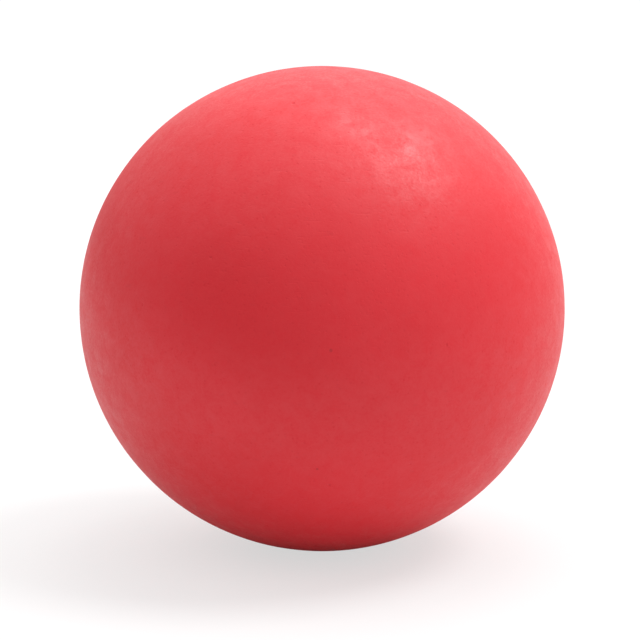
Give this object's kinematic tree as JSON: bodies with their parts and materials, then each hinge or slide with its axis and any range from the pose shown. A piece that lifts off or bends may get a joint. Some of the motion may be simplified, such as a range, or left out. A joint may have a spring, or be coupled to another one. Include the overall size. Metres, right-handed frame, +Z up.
{
  "type": "massage ball",
  "caption": "Solid round rubber massage ball with a satin ground surface, leaned or rolled on to press sore muscles.",
  "frame": {"origin": "centre of the ball", "axes": "+Z up, +Y along the axis that the mould opened on, so the ground parting line runs round the ball in the XZ plane"},
  "size_m": [0.063, 0.063, 0.063],
  "materials": {
    "red_rubber": "satin"
  },
  "bodies": {
    "root": {"ball": "red_rubber"}
  },
  "joints": []
}
